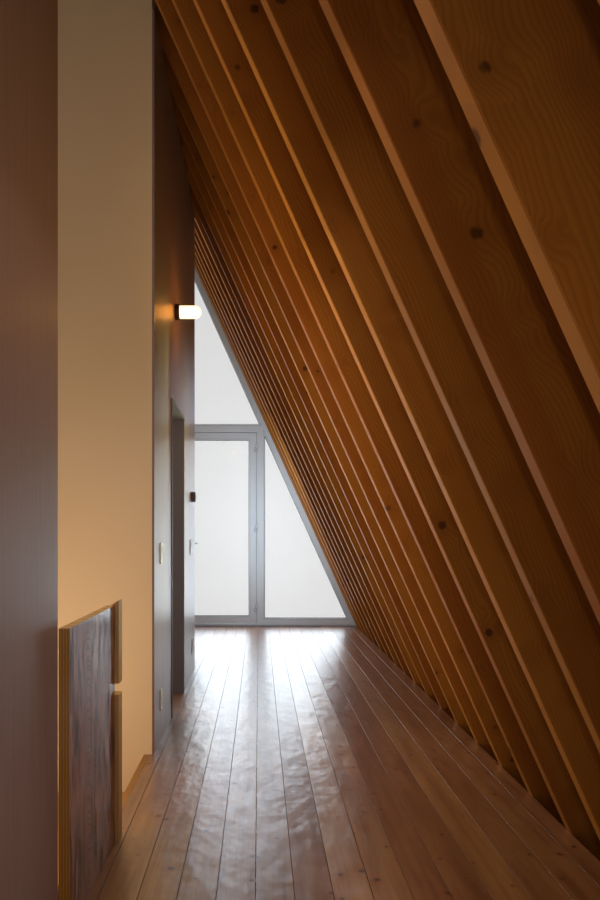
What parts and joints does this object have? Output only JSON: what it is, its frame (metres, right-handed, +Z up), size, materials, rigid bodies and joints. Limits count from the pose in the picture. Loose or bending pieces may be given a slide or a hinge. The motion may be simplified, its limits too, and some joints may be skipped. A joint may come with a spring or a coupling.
{
  "type": "a-frame cabin side gallery, half section from eave to ridge",
  "caption": "Side gallery of an a-frame cabin: raking rafters and roof from eave to ridge over a boarded floor, with partition, stair head and glazed gable with a door.",
  "frame": {"origin": "middle of the bounding box on the ground", "axes": "+Y along the building towards the glazed gable, +X from the ridge plane out to the eave, +Z up"},
  "size_m": [3.3828, 8.531, 7.412],
  "materials": {
    "rafter_timber": "planed softwood, clear oil, knots and rings",
    "roof_boards": "plain boards",
    "roof_metal": "matt standing seam sheet",
    "joist_timber": "sawn softwood",
    "floor_boards": "varnished knotty softwood boards",
    "tread_timber": "clear oiled softwood",
    "dark_plywood": "dark stained plywood, upright grain, satin",
    "guard_plywood": "brown stained plywood, upright open grain",
    "casing_timber": "stained, satin",
    "white_plaster": "matt painted board",
    "gable_frame": "satin grey",
    "clear_glass": "clear",
    "satin_metal": "satin",
    "lamp_metal": "dark bronze",
    "opal_glass": "opal, lit from inside",
    "plate_plastic": "satin"
  },
  "bodies": {
    "cabin": {"rafter_01": "rafter_timber", "rafter_02": "rafter_timber", "rafter_03": "rafter_timber", "rafter_04": "rafter_timber", "rafter_05": "rafter_timber", "rafter_06": "rafter_timber", "rafter_07": "rafter_timber", "rafter_08": "rafter_timber", "rafter_09": "rafter_timber", "rafter_10": "rafter_timber", "rafter_11": "rafter_timber", "rafter_12": "rafter_timber", "rafter_13": "rafter_timber", "rafter_14": "rafter_timber", "rafter_15": "rafter_timber", "rafter_16": "rafter_timber", "rafter_17": "rafter_timber", "rafter_18": "rafter_timber", "rafter_19": "rafter_timber", "rafter_20": "rafter_timber", "rafter_21": "rafter_timber", "gable_rafter": "rafter_timber", "ridge_beam": "rafter_timber", "roof_deck": "roof_boards", "roof_sheet": "roof_metal", "floor_frame": "joist_timber", "floor_deck": "floor_boards", "stair_landing": "tread_timber", "stair_nosing": "floor_boards", "partition_near": "dark_plywood", "partition_far": "dark_plywood", "partition_head": "dark_plywood", "doorway_casing": "casing_timber", "stair_end_wall": "white_plaster", "near_wall": "dark_plywood", "guard_panel": "guard_plywood", "guard_post": "tread_timber", "gable_rails": "gable_frame", "gable_posts": "gable_frame", "gable_rake_rail": "gable_frame", "door_jamb": "gable_frame", "gable_panes": "clear_glass", "wall_lamp_base": "lamp_metal", "wall_lamp_globe": "opal_glass", "wall_plates": "plate_plastic"},
    "gable_door": {"door_leaf": "gable_frame", "door_pane": "clear_glass", "door_hardware": "satin_metal"}
  },
  "joints": [
    {"name": "gable_door_swing", "type": "hinge", "parent": "cabin", "child": "gable_door", "pos_m": [-0.05387, 4.0875, 0.5], "axis": [0, 0, 1], "range_deg": [0, 90]}
  ]
}
